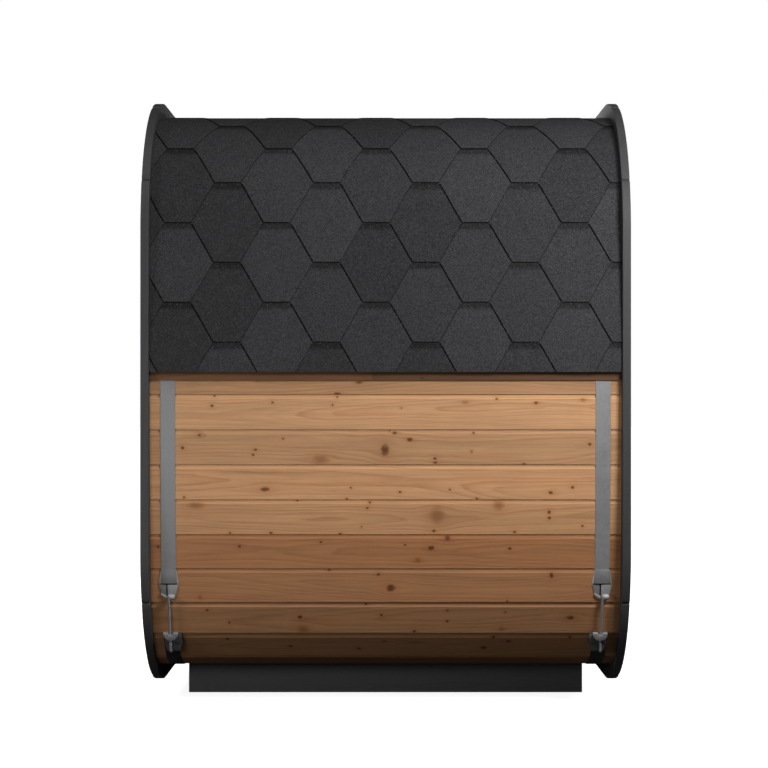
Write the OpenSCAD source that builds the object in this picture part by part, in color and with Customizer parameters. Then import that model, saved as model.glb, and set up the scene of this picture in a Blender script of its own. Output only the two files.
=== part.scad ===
// Cube sauna: a rounded-square cabin of horizontal staves between two black end
// rings, with a shingled roof over its upper half and two tightening straps.
// X runs across the cabin, Y along its length with the door end at -Y, Z is up.
// The origin is on the ground, under the middle of the cabin.

/* [Body] */
// Length over the two end rings
body_length = 1670; // [1200:10:3000]
// Half width of the stave shell, from its middle to the outer face
shell_half_w = 1017; // [850:1:1250]
// Depth of the stave shell below its middle
shell_half_low = 1017; // [850:1:1250]
// How much less the shell reaches above its middle than below it
roof_drop = 20; // [0:1:60]
// Radius of the slight bulge of all four sides
bulge_r = 6230; // [4500:10:9000]
// Radius of the two lower corners of the shell
low_corner_r = 300; // [200:5:420]
// Radius of the two upper corners of the shell
top_corner_r = 380; // [200:5:420]
// Thickness of the staves
stave_t = 40; // [28:1:60]
// Staves from the seam at mid height to the middle of the roof or the floor
staves = 15; // [12:1:18]
// Drop of the seam at mid height below the middle of the shell
mid_seam_drop = 10; // [0:1:40]

/* [End rings] */
// Distance from the shell's outer face to the ring's outer edge at mid height
ring_proud = 33; // [10:1:60]
// Height of the ring's underside above the ground
ring_clearance = 53; // [35:1:120]
// Outer radius of the ring's corners
ring_corner_r = 500; // [350:5:600]
// Width of the ring's boards
ring_board_w = 145; // [100:1:180]
// Thickness of the ring's boards
ring_t = 28; // [18:1:40]
// Angle from a side's straight line to the joint with the corner board
ring_joint_angle = 20.5; // [5:0.5:30]

/* [Roof] */
// Thickness of the roof boards over the straps
roof_board_t = 18; // [12:1:30]
// Thickness of the shingle layer
shingle_t = 5; // [3:0.5:8]
// Height of the roof's lower edge above the middle of the shell
roof_edge = 38; // [-100:1:200]
// Height of the thin lip that the roof boards leave bare below the shingles
roof_lip_h = 27; // [15:1:60]
// Thickness of the lip
roof_lip_t = 4; // [3:0.5:10]

/* [Straps and tensioners] */
// Width of the steel straps
strap_w = 52; // [30:1:70]
// Thickness of the steel straps
strap_t = 2; // [1:0.5:4]
// Depth of the end of the upper strap below the middle of the shell
strap_end_drop = 660; // [600:1:680]
// Lean of the tension rod off the vertical
rod_lean = 18.5; // [12:0.5:24]
// Diameter of the tension rod
rod_d = 10; // [8:1:16]
// Distance from the corner staves to the middle of the rod
rod_gap = 16; // [12:1:24]
// Widest part of the upper lug
lug_w = 68; // [56:1:80]
// Thickness of the upper lug's plate
lug_t = 6; // [4:1:10]

/* [Base] */
// Distance between the outer faces of the two base beams
base_w = 1154; // [700:2:1300]
// Thickness of the base timbers
base_timber_t = 45; // [35:1:90]
// Gap between the ends of the base and the straps
base_strap_gap = 2; // [2:1:100]

/* [End walls and door] */
// Thickness of the end walls
end_wall_t = 40; // [28:1:60]
// Depth of the end walls behind the outer faces of the rings
end_wall_recess = 68; // [50:1:200]
// Width over the door frame
door_frame_w = 760; // [650:10:900]
// Distance from the top of the shell down to the door frame
door_head = 140; // [90:5:400]
// Width of the door frame's members
door_member_w = 45; // [30:1:70]
// Distance the door frame stands out from the wall on each side
door_frame_proud = 12; // [5:1:30]
// Thickness of the glass door
glass_t = 8; // [5:1:12]
// Gap round the glass door
door_gap = 3; // [2:0.5:6]
// Height of the handle bars
handle_h = 300; // [150:10:600]

/* [Floor] */
// Height of the floor above the underside of the shell
floor_rise = 117; // [100:1:170]
// Thickness of the floor boards
floor_board_t = 22; // [18:1:35]
// Gap between the edges of the floor and the inside of the lower corners
floor_gap = 13; // [5:1:120]

/* [Hidden] */

wood_colour = [0.66, 0.44, 0.28];
black_colour = [0.13, 0.13, 0.14];
shingle_colour = [0.20, 0.20, 0.21];
steel_colour = [0.47, 0.47, 0.47];

// The shell and the rings share one middle height
shell_half_top = shell_half_low - roof_drop;
ring_half_w = shell_half_w + ring_proud;
ring_half_h = shell_half_low + ring_proud;
middle_z = ring_clearance + ring_half_h;
half_length = body_length / 2;
stave_end = half_length - ring_t;
wall_outer_y = half_length - end_wall_recess;
wall_inner_y = wall_outer_y - end_wall_t;
strap_y = (wall_outer_y + wall_inner_y) / 2;

// Staves 0 to corner_first make a side, the next ones to corner_last a corner
corner_first = round(staves * 0.4);
corner_last = staves - corner_first;

// Outline of one quarter of the shell: a side arc, a corner arc and a top arc.
// half_w and half_h are the shell's reach, corner_r the radius of its corner.
function side_centre(half_w) = [half_w - bulge_r, 0];
function top_centre(half_h) = [0, half_h - bulge_r];
function corner_centre(half_w, half_h, corner_r) =
    let (a = side_centre(half_w), b = top_centre(half_h), d = norm(b - a))
    (a + b) / 2 + [a.y - b.y, b.x - a.x] / d * sqrt(pow(bulge_r - corner_r, 2) - d * d / 4);
function side_angle(half_w, half_h, corner_r) =
    let (v = corner_centre(half_w, half_h, corner_r) - side_centre(half_w)) atan2(v.y, v.x);
function top_angle(half_w, half_h, corner_r) =
    let (v = corner_centre(half_w, half_h, corner_r) - top_centre(half_h)) atan2(v.x, v.y);
function arc_length(r, angle) = r * angle * PI / 180;
function arc_angle(r, length) = length / r * 180 / PI;
function quarter_length(half_w, half_h, corner_r) =
    let (side = side_angle(half_w, half_h, corner_r), top = top_angle(half_w, half_h, corner_r))
    arc_length(bulge_r, side + top) + arc_length(corner_r, 90 - side - top);

// Point at distance s along the quarter, lifted off the surface by out
function quarter_point(s, out, half_w, half_h, corner_r) =
    let (
        side = side_angle(half_w, half_h, corner_r),
        top = top_angle(half_w, half_h, corner_r),
        s_corner = arc_length(bulge_r, side),
        s_top = s_corner + arc_length(corner_r, 90 - side - top)
    )
    s <= s_corner ?
        let (t = arc_angle(bulge_r, s))
        side_centre(half_w) + (bulge_r + out) * [cos(t), sin(t)]
    : s <= s_top ?
        let (t = side + arc_angle(corner_r, s - s_corner))
        corner_centre(half_w, half_h, corner_r) + (corner_r + out) * [cos(t), sin(t)]
    :
        let (t = top - arc_angle(bulge_r, s - s_top))
        top_centre(half_h) + (bulge_r + out) * [sin(t), cos(t)];

top_quarter = quarter_length(shell_half_w, shell_half_top, top_corner_r);
low_quarter = quarter_length(shell_half_w, shell_half_low, low_corner_r);
top_pitch = (top_quarter + mid_seam_drop) / staves;
low_pitch = (low_quarter - mid_seam_drop) / staves;

// Points of the right half of the outline at a distance or at a stave's seam
function top_at(s, out) = quarter_point(s, out, shell_half_w, shell_half_top, top_corner_r);
function low_at(s, out) =
    let (p = quarter_point(s, out, shell_half_w, shell_half_low, low_corner_r)) [p.x, -p.y];
function top_seam(i, out) = top_at(i * top_pitch - mid_seam_drop, out);
function low_seam(i, out) = low_at(i * low_pitch + mid_seam_drop, out);

// Bands between two lifts off the shell, along the seams from first to last
function top_run(first, last, out) = [for (i = [first:1:last]) top_seam(i, out)];
function low_run(first, last, out) = [for (i = [first:1:last]) low_seam(i, out)];
function reversed(list) = [for (i = [len(list) - 1:-1:0]) list[i]];
function mirrored(list) = [for (p = list) [-p.x, p.y]];
function side_run(out) = concat(reversed(low_run(1, corner_first, out)), top_run(0, corner_first, out));
function band(inner, outer) = concat(outer, reversed(inner));
function over_run(run) = concat(run, reversed(mirrored([for (i = [0:1:len(run) - 2]) run[i]])));

// Outline of the whole shell, lifted by out
function outline(out) =
    let (right = concat(reversed(low_run(1, staves, out)), top_run(0, staves, out)))
    concat(right, reversed(mirrored([for (i = [1:1:len(right) - 2]) right[i]])));

// Extrudes a shape drawn across the cabin, about the shell's middle, from y0 to y1
module along(y0, y1) {
    translate([0, y1, middle_z])
        rotate([90, 0, 0])
            linear_extrude(y1 - y0)
                children();
}

module either_side(left) {
    if (left) mirror([1, 0, 0]) children();
    else children();
}

// Shell of staves
module side_wall(left) {
    color(wood_colour)
        either_side(left)
            along(-stave_end, stave_end)
                polygon(band(side_run(-stave_t), side_run(0)));
}

module roof_staves() {
    color(wood_colour)
        along(-stave_end, stave_end)
            polygon(band(
                over_run(top_run(corner_last, staves, -stave_t)),
                over_run(top_run(corner_last, staves, 0))));
}

module floor_staves() {
    color(wood_colour)
        along(-stave_end, stave_end)
            polygon(band(
                over_run(low_run(corner_last, staves, -stave_t)),
                over_run(low_run(corner_last, staves, 0))));
}

module corner_staves_top(left) {
    color(wood_colour)
        either_side(left)
            along(-stave_end, stave_end)
                polygon(band(
                    top_run(corner_first, corner_last, -stave_t),
                    top_run(corner_first, corner_last, 0)));
}

module corner_staves_low(left) {
    color(wood_colour)
        either_side(left)
            along(-stave_end, stave_end)
                polygon(band(
                    low_run(corner_first, corner_last, -stave_t),
                    low_run(corner_first, corner_last, 0)));
}

// End walls, cut from the inside outline of the shell
sill_top = floor_rise - shell_half_low;
frame_top = shell_half_top - door_head;

module end_wall_piece(x0, x1, z0, z1, back) {
    y0 = back ? wall_inner_y : -wall_outer_y;
    color(wood_colour)
        along(y0, y0 + end_wall_t)
            intersection() {
                polygon(outline(-stave_t));
                translate([x0, z0]) square([x1 - x0, z1 - z0]);
            }
}

module front_wall_left() {
    end_wall_piece(-ring_half_w, -door_frame_w / 2, -ring_half_h, ring_half_h, false);
}

module front_wall_right() {
    end_wall_piece(door_frame_w / 2, ring_half_w, -ring_half_h, ring_half_h, false);
}

module front_wall_head() {
    end_wall_piece(-door_frame_w / 2, door_frame_w / 2, frame_top, ring_half_h, false);
}

module front_wall_sill() {
    end_wall_piece(-door_frame_w / 2, door_frame_w / 2, -ring_half_h, sill_top, false);
}

module back_wall() {
    end_wall_piece(-ring_half_w, ring_half_w, -ring_half_h, ring_half_h, true);
}

// End rings: a rounded rectangular band, cut into boards
corner_x = ring_half_w - ring_corner_r;
corner_z = ring_half_h - ring_corner_r;

// A rounded rectangle whose corner arcs are centred on the ring's
module rounded_box(r) {
    union() {
        square([2 * (corner_x + r), 2 * corner_z], center = true);
        square([2 * corner_x, 2 * (corner_z + r)], center = true);
        for (sx = [-1, 1], sz = [-1, 1])
            translate([sx * corner_x, sz * corner_z]) circle(r, $fn = 120);
    }
}

module ring_band() {
    difference() {
        rounded_box(ring_corner_r);
        rounded_box(ring_corner_r - ring_board_w);
    }
}

// Wedge from the middle of the upper right corner's arc, between two angles
module corner_wedge(angle0, angle1) {
    reach = 2 * ring_corner_r;
    translate([corner_x, corner_z])
        polygon([
            [0, 0],
            reach * [cos(angle0), sin(angle0)],
            reach * [cos(angle1), sin(angle1)]
        ]);
}

module ring_corner() {
    intersection() {
        ring_band();
        corner_wedge(ring_joint_angle, 90 - ring_joint_angle);
    }
}

module ring_side() {
    intersection() {
        ring_band();
        union() {
            translate([0, -corner_z]) square([ring_half_w, 2 * corner_z]);
            corner_wedge(0, ring_joint_angle);
            mirror([0, 1]) corner_wedge(0, ring_joint_angle);
        }
    }
}

module ring_top() {
    intersection() {
        ring_band();
        union() {
            translate([-corner_x, 0]) square([2 * corner_x, ring_half_h]);
            corner_wedge(90 - ring_joint_angle, 90);
            mirror([1, 0]) corner_wedge(90 - ring_joint_angle, 90);
        }
    }
}

module ring_boards(back) {
    y0 = back ? stave_end : -half_length;
    color(black_colour) along(y0, y0 + ring_t) children();
}

module ring_sides(back) {
    ring_boards(back) for (turn = [0, 180]) rotate(turn) ring_side();
}

module ring_top_and_bottom(back) {
    ring_boards(back) for (turn = [0, 180]) rotate(turn) ring_top();
}

module ring_corners(back) {
    ring_boards(back)
        for (turn = [0, 180])
            rotate(turn) {
                ring_corner();
                mirror([1, 0]) ring_corner();
            }
}

// Roof: boards laid over the straps, and the shingles on them
function roof_side_run(edge, out) = concat([top_at(edge, out)], top_run(1, corner_first, out));
shingle_edge = roof_edge + roof_lip_h;
roof_in = strap_t;
lip_out = roof_in + roof_lip_t;
roof_out = roof_in + roof_board_t;
cover_out = roof_out + shingle_t;

module roof_layer(left, colour) {
    color(colour) either_side(left) along(-stave_end, stave_end) children();
}

module roof_boards_side(left) {
    lip = [top_at(roof_edge, lip_out), top_at(shingle_edge, lip_out)];
    roof_layer(left, wood_colour)
        polygon(band(
            roof_side_run(roof_edge, roof_in),
            concat(lip, roof_side_run(shingle_edge, roof_out))));
}

module roof_boards_corner(left) {
    roof_layer(left, wood_colour)
        polygon(band(
            top_run(corner_first, corner_last, roof_in),
            top_run(corner_first, corner_last, roof_out)));
}

module roof_boards_top() {
    roof_layer(false, wood_colour)
        polygon(band(
            over_run(top_run(corner_last, staves, roof_in)),
            over_run(top_run(corner_last, staves, roof_out))));
}

// A side's shingles run up its side and round its corner
function shingle_run(out) =
    concat(roof_side_run(shingle_edge, out), top_run(corner_first + 1, corner_last, out));

module shingles_side(left) {
    roof_layer(left, shingle_colour)
        polygon(band(shingle_run(roof_out), shingle_run(cover_out)));
}

module shingles_top() {
    roof_layer(false, shingle_colour)
        polygon(band(
            over_run(top_run(corner_last, staves, roof_out)),
            over_run(top_run(corner_last, staves, cover_out))));
}

// Straps: one goes over the cabin and one under it, in line with the end walls.
// The lower one starts on the corner, level with the top of its lug.
lug_block_h = 26;
lug_block_w = 44;
// Heights along the rod, from the point where it passes closest to the corner
upper_block = 60;
lower_block = -90;
low_side_angle = side_angle(shell_half_w, shell_half_low, low_corner_r);
lower_lug_angle = rod_lean - atan((lower_block + lug_block_h) / (low_corner_r + rod_gap));
lower_lug_s = arc_length(bulge_r, low_side_angle)
    + arc_length(low_corner_r, lower_lug_angle - low_side_angle);
strap_end_s = arc_length(bulge_r, asin(strap_end_drop / bulge_r));
upper_first = floor((strap_end_s - mid_seam_drop) / low_pitch);
lower_start = (lower_lug_s - mid_seam_drop) / low_pitch;

function upper_run(out) =
    over_run(concat(
        [low_at(strap_end_s, out)],
        reversed(low_run(1, upper_first, out)),
        top_run(0, staves, out)));
function lower_run(out) =
    let (
        i = floor(lower_start),
        a = low_seam(i, out),
        b = low_seam(i + 1, out)
    )
    over_run(concat([a + (b - a) * (lower_start - i)], low_run(i + 1, staves, out)));

module strap(back) {
    y = back ? strap_y : -strap_y;
    color(steel_colour)
        along(y - strap_w / 2, y + strap_w / 2) {
            polygon(band(upper_run(0), upper_run(strap_t)));
            polygon(band(lower_run(0), lower_run(strap_t)));
        }
}

// Tensioner: a flared lug on the end of the upper strap, a rod that spans the
// corner, and a lug on the lower strap. Drawn for the right side at y = 0.
low_corner = corner_centre(shell_half_w, shell_half_low, low_corner_r);
rod_foot = [low_corner.x + (low_corner_r + rod_gap) * cos(rod_lean),
            -low_corner.y - (low_corner_r + rod_gap) * sin(rod_lean)];
rod_cover = rod_d / 2 + 7;
rod_clearance = 0.5;
nut_af = 17;
nut_h = 8;
rod_top = upper_block + lug_block_h + nut_h + 4;
rod_bottom = lower_block - 46;
lug_tail = strap_end_drop - 47;

// Places children in a frame on the rod: z along the rod, x away from the cabin
module on_rod() {
    translate([rod_foot.x, 0, middle_z + rod_foot.y])
        rotate([0, rod_lean, 0])
            children();
}

module rod_with_nuts() {
    on_rod() {
        translate([0, 0, rod_bottom])
            cylinder(h = rod_top - rod_bottom, d = rod_d, $fn = 48);
        for (z = [upper_block + lug_block_h, lower_block - nut_h])
            translate([0, 0, z])
                cylinder(h = nut_h, d = nut_af / cos(30), $fn = 6);
    }
}

// The flared plate of the upper lug, laid on the strap
module upper_plate() {
    hinge = low_at(lug_tail, strap_t);
    translate([hinge.x, 0, middle_z + hinge.y])
        rotate([0, arc_angle(bulge_r, strap_end_s), 0])
            rotate([0, 90, 0])
                linear_extrude(lug_t)
                    polygon([
                        [0, -strap_w / 2], [lug_tail - strap_end_drop + 94, -lug_w / 2],
                        [90, -lug_block_w / 2], [90, lug_block_w / 2],
                        [lug_tail - strap_end_drop + 94, lug_w / 2], [0, strap_w / 2]
                    ]);
}

module lug_block(height_on_rod) {
    on_rod()
        translate([-3 * rod_d, -lug_block_w / 2, height_on_rod])
            cube([3 * rod_d + rod_cover, lug_block_w, lug_block_h]);
}

module lugs() {
    difference() {
        union() {
            upper_plate();
            lug_block(upper_block);
            lug_block(lower_block);
        }
        along(-lug_w, lug_w) polygon(outline(strap_t));
        along(-strap_w / 2, strap_w / 2) polygon(band(upper_run(0), upper_run(strap_t)));
        on_rod()
            translate([0, 0, lower_block - lug_w])
                cylinder(h = upper_block - lower_block + 2 * lug_w, d = rod_d + 2 * rod_clearance, $fn = 48);
    }
}

module tensioner(left, back) {
    color(steel_colour)
        either_side(left)
            translate([0, back ? strap_y : -strap_y, 0])
                lugs();
}

module tension_rods() {
    color(steel_colour)
        for (left = [false, true], y = [-strap_y, strap_y])
            either_side(left)
                translate([0, y, 0])
                    rod_with_nuts();
}

// Base: two beams and three bearers, cut to the underside of the shell
module base_timber(x0, x1, y0, y1) {
    color(black_colour)
        difference() {
            translate([x0, y0, 0]) cube([x1 - x0, y1 - y0, middle_z - shell_half_low / 2]);
            along(y0 - 1, y1 + 1) polygon(outline(0));
        }
}

base_end = strap_y - strap_w / 2 - base_strap_gap;

module base_beam(left) {
    either_side(left)
        base_timber(base_w / 2 - base_timber_t, base_w / 2, -base_end, base_end);
}

module base_bearer(y) {
    inner = base_w / 2 - base_timber_t;
    base_timber(-inner, inner, y - base_timber_t / 2, y + base_timber_t / 2);
}

bearer_y = base_end - base_timber_t / 2;

// Door
door_x = door_frame_w / 2 - door_member_w;
door_front = -wall_outer_y - door_frame_proud;
door_back = -wall_inner_y + door_frame_proud;
glass_y = -wall_outer_y;
glass_low = sill_top + door_member_w + door_gap;
glass_high = frame_top - door_member_w - door_gap;
glass_half_w = door_x - door_gap;

module door_frame() {
    color(black_colour)
        along(door_front, door_back)
            difference() {
                translate([-door_frame_w / 2, sill_top])
                    square([door_frame_w, frame_top - sill_top]);
                translate([-door_x, sill_top + door_member_w])
                    square([2 * door_x, frame_top - sill_top - 2 * door_member_w]);
            }
}

module door_glass() {
    color([0.35, 0.30, 0.26, 0.5])
        along(glass_y, glass_y + glass_t)
            translate([-glass_half_w, glass_low])
                square([2 * glass_half_w, glass_high - glass_low]);
}

// Hinges grip the glass from both sides and stand on the frame's inner face
hinge_h = 80;
hinge_reach = 55;
hinge_plate_t = 8;
hinge_inset = 200;

module door_hinges() {
    color(steel_colour)
        for (z = [glass_low + hinge_inset, glass_high - hinge_inset - hinge_h])
            difference() {
                along(glass_y - hinge_plate_t, glass_y + glass_t + hinge_plate_t)
                    translate([-door_x, z]) square([hinge_reach, hinge_h]);
                along(glass_y, glass_y + glass_t)
                    translate([-glass_half_w, z - 1]) square([hinge_reach, hinge_h + 2]);
            }
}

// Handle bars on both faces of the glass, each on two spacers
handle_z = sill_top + 847;
handle_x = glass_half_w - 70;
handle_w = 30;
handle_depth = 24;
spacer_l = 32;
spacer_d = 18;

module handle_bar() {
    translate([handle_x - handle_w / 2, -spacer_l - handle_depth, middle_z + handle_z - handle_h / 2])
        cube([handle_w, handle_depth, handle_h]);
    for (z = [-1, 1])
        translate([handle_x, 0, middle_z + handle_z + z * (handle_h / 2 - 40)])
            rotate([90, 0, 0])
                cylinder(h = spacer_l, d = spacer_d, $fn = 36);
}

module door_handles() {
    color(wood_colour) {
        translate([0, glass_y, 0]) handle_bar();
        translate([0, glass_y + glass_t, 0]) mirror([0, 1, 0]) handle_bar();
    }
}

// Floor inside: its boards reach towards the inside of the shell
floor_low = sill_top - floor_board_t;
inside = low_run(0, staves, -stave_t);
function reach_at(run, z) =
    max([for (i = [0:1:len(run) - 2])
        let (a = run[i], b = run[i + 1])
        if (b.y < z && z <= a.y) a.x + (b.x - a.x) * (z - a.y) / (b.y - a.y)]);
floor_half_w = reach_at(inside, floor_low) - floor_gap;

module floor_boards() {
    color(wood_colour)
        along(-wall_inner_y, wall_inner_y)
            translate([-floor_half_w, floor_low])
                square([2 * floor_half_w, floor_board_t]);
}

joist_x = floor_half_w * 2 / 3;

module floor_joists() {
    color(wood_colour)
        along(-wall_inner_y, wall_inner_y)
            for (x = [-joist_x, 0, joist_x])
                intersection() {
                    polygon(outline(-stave_t));
                    translate([x - base_timber_t / 2, -ring_half_h])
                        square([base_timber_t, ring_half_h + floor_low]);
                }
}

side_wall(false);  // wall_right
side_wall(true);  // wall_left
roof_staves();
floor_staves();
corner_staves_top(false);  // corner_staves_top_right
corner_staves_top(true);  // corner_staves_top_left
corner_staves_low(false);  // corner_staves_low_right
corner_staves_low(true);  // corner_staves_low_left
front_wall_left();
front_wall_right();
front_wall_head();
front_wall_sill();
back_wall();
ring_sides(false);  // front_ring_sides
ring_top_and_bottom(false);  // front_ring_top_and_bottom
ring_corners(false);  // front_ring_corners
ring_sides(true);  // back_ring_sides
ring_top_and_bottom(true);  // back_ring_top_and_bottom
ring_corners(true);  // back_ring_corners
roof_boards_side(false);  // roof_boards_right
roof_boards_side(true);  // roof_boards_left
roof_boards_top();
roof_boards_corner(false);  // roof_boards_corner_right
roof_boards_corner(true);  // roof_boards_corner_left
shingles_side(false);  // shingles_right
shingles_side(true);  // shingles_left
shingles_top();
strap(false);  // strap_front
strap(true);  // strap_back
tensioner(false, false);  // tensioner_front_right
tensioner(true, false);  // tensioner_front_left
tensioner(false, true);  // tensioner_back_right
tensioner(true, true);  // tensioner_back_left
tension_rods();
base_beam(false);  // base_beam_right
base_beam(true);  // base_beam_left
base_bearer(-bearer_y);  // base_bearer_front
base_bearer(0);  // base_bearer_middle
base_bearer(bearer_y);  // base_bearer_back
door_frame();
door_glass();
door_hinges();
door_handles();
floor_boards();
floor_joists();
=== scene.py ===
import math
import random

import bmesh
import bpy
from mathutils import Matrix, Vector


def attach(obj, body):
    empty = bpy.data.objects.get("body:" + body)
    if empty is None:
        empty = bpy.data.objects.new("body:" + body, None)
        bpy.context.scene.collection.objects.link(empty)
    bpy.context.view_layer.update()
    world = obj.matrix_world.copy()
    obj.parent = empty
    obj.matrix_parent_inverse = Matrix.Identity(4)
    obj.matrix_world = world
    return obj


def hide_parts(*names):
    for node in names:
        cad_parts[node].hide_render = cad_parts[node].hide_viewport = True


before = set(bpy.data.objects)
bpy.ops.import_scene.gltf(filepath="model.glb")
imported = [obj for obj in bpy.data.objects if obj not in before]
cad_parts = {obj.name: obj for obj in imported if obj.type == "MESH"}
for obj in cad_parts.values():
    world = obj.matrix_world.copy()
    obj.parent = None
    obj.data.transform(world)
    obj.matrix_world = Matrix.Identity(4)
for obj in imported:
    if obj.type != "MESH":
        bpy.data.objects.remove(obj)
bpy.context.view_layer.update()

X, Y, Z = Vector((1, 0, 0)), Vector((0, 1, 0)), Vector((0, 0, 1))
SIDES = (("right", False), ("left", True))

# The cabin's sizes in metres: the CAD source's, or within 3 mm of them.
# Places across the cabin and heights are about the middle of the shell.
HALF_LENGTH = 0.835
HALF_W = HALF_LOW = 1.017
HALF_TOP = 0.999
BULGE_R = 6.23
LOW_R = 0.3
TOP_R = 0.38
STAVE_T = 0.04
STAVES = 15
SEAM_DROP = 0.01
CORNER_FIRST = 6
CORNER_LAST = 9
MIDDLE_Z = 1.103
RING_T = 0.028
RING_HALF = 1.05
RING_R = 0.5
RING_W = 0.145
RING_JOINT = 20.5
STAVE_END = HALF_LENGTH - RING_T
BOARD_END = STAVE_END - 0.0002
SHINGLE_EDGE = 0.067
ROOF_IN = 0.002
ROOF_BOARD_T = 0.018
COVER_OUT = 0.025
WALL_OUTER = 0.767
WALL_INNER = 0.727
# Straps: end, place along the cabin and steel tone. The front strap, with its tensioners and rods, is darker
# than the back one as painted shade
STRAPS = (("front", -0.7455, 0.76), ("back", 0.7442, 0.87))
STRAP_W = 0.051
STRAP_T = 0.002
STRAP_END_DROP = 0.66
ROD_LEAN = math.radians(18.5)
ROD_GAP = 0.016
BASE_X = 0.577
TIMBER_T = 0.045
BASE_END = 0.72
DOOR_HALF_W = 0.38
MEMBER_W = 0.045
SILL_TOP = -0.9
FRAME_TOP = 0.857


class Quarter:
    """One quarter of the shell's outline: a side arc, a corner arc and a top arc."""

    def __init__(self, half_w, half_h, corner_r):
        self.side = Vector((half_w - BULGE_R, 0))
        self.top = Vector((0, half_h - BULGE_R))
        self.corner_r = corner_r
        across = self.top - self.side
        lift = math.sqrt((BULGE_R - corner_r) ** 2 - across.length_squared / 4)
        self.corner = (self.side + self.top) / 2 + across.orthogonal().normalized() * lift
        to_side, to_top = self.corner - self.side, self.corner - self.top
        self.side_angle = math.atan2(to_side.y, to_side.x)
        self.top_angle = math.atan2(to_top.x, to_top.y)
        self.s_corner = BULGE_R * self.side_angle
        turn = math.pi / 2 - self.side_angle - self.top_angle
        self.s_top = self.s_corner + corner_r * turn
        self.length = self.s_top + BULGE_R * self.top_angle

    def at(self, s, out):
        """The point s along the outline from the middle of the side, and out from it."""
        if s <= self.s_corner:
            centre, r, t = self.side, BULGE_R, s / BULGE_R
        elif s <= self.s_top:
            centre, r, t = self.corner, self.corner_r, self.side_angle + (s - self.s_corner) / self.corner_r
        else:
            centre, r, t = self.top, BULGE_R, math.pi / 2 - self.top_angle + (s - self.s_top) / BULGE_R
        return centre + (r + out) * Vector((math.cos(t), math.sin(t)))


UPPER = Quarter(HALF_W, HALF_TOP, TOP_R)
LOWER = Quarter(HALF_W, HALF_LOW, LOW_R)
TOP_PITCH = (UPPER.length + SEAM_DROP) / STAVES
LOW_PITCH = (LOWER.length - SEAM_DROP) / STAVES
# Seams as the photograph shows them, from mid height down the side and into the corner
SIDE_SEAMS = (0.01, 0.1302, 0.2504, 0.3706, 0.4908, 0.6096, 0.727, 0.847, 0.979)


def top_at(s, out):
    return UPPER.at(s, out)


def low_at(s, out):
    p = LOWER.at(s, out)
    return Vector((p.x, -p.y))


def seam(k, out):
    """Seam k of the right half: 0 at mid height, 15 at the ridge, -15 under the floor."""
    if k >= 0:
        return top_at(k * TOP_PITCH - SEAM_DROP, out)
    last = len(SIDE_SEAMS) - 1
    if -k <= last:
        return low_at(SIDE_SEAMS[-k], out)
    pitch = (LOWER.length - SIDE_SEAMS[last]) / (STAVES - last)
    return low_at(SIDE_SEAMS[last] + (-k - last) * pitch, out)


def at(x, y, z):
    """A point from its place about the shell's middle."""
    return Vector((x, y, MIDDLE_Z + z))


# ---- materials


class Value:
    """An output socket that adds and multiplies like a number."""

    def __init__(self, graph, socket):
        self.graph, self.socket = graph, socket

    def __rsub__(self, other):
        return self.graph.math("SUBTRACT", other, self)

    def clamped(self):
        return self.graph.math("ADD", self, 0, clamp=True)


def arithmetic(operation):
    return lambda value, other: value.graph.math(operation, value, other)


OPERATORS = {"add": "ADD", "sub": "SUBTRACT", "mul": "MULTIPLY", "truediv": "DIVIDE", "pow": "POWER"}
for sign, operation in OPERATORS.items():
    setattr(Value, f"__{sign}__", arithmetic(operation))


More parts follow.
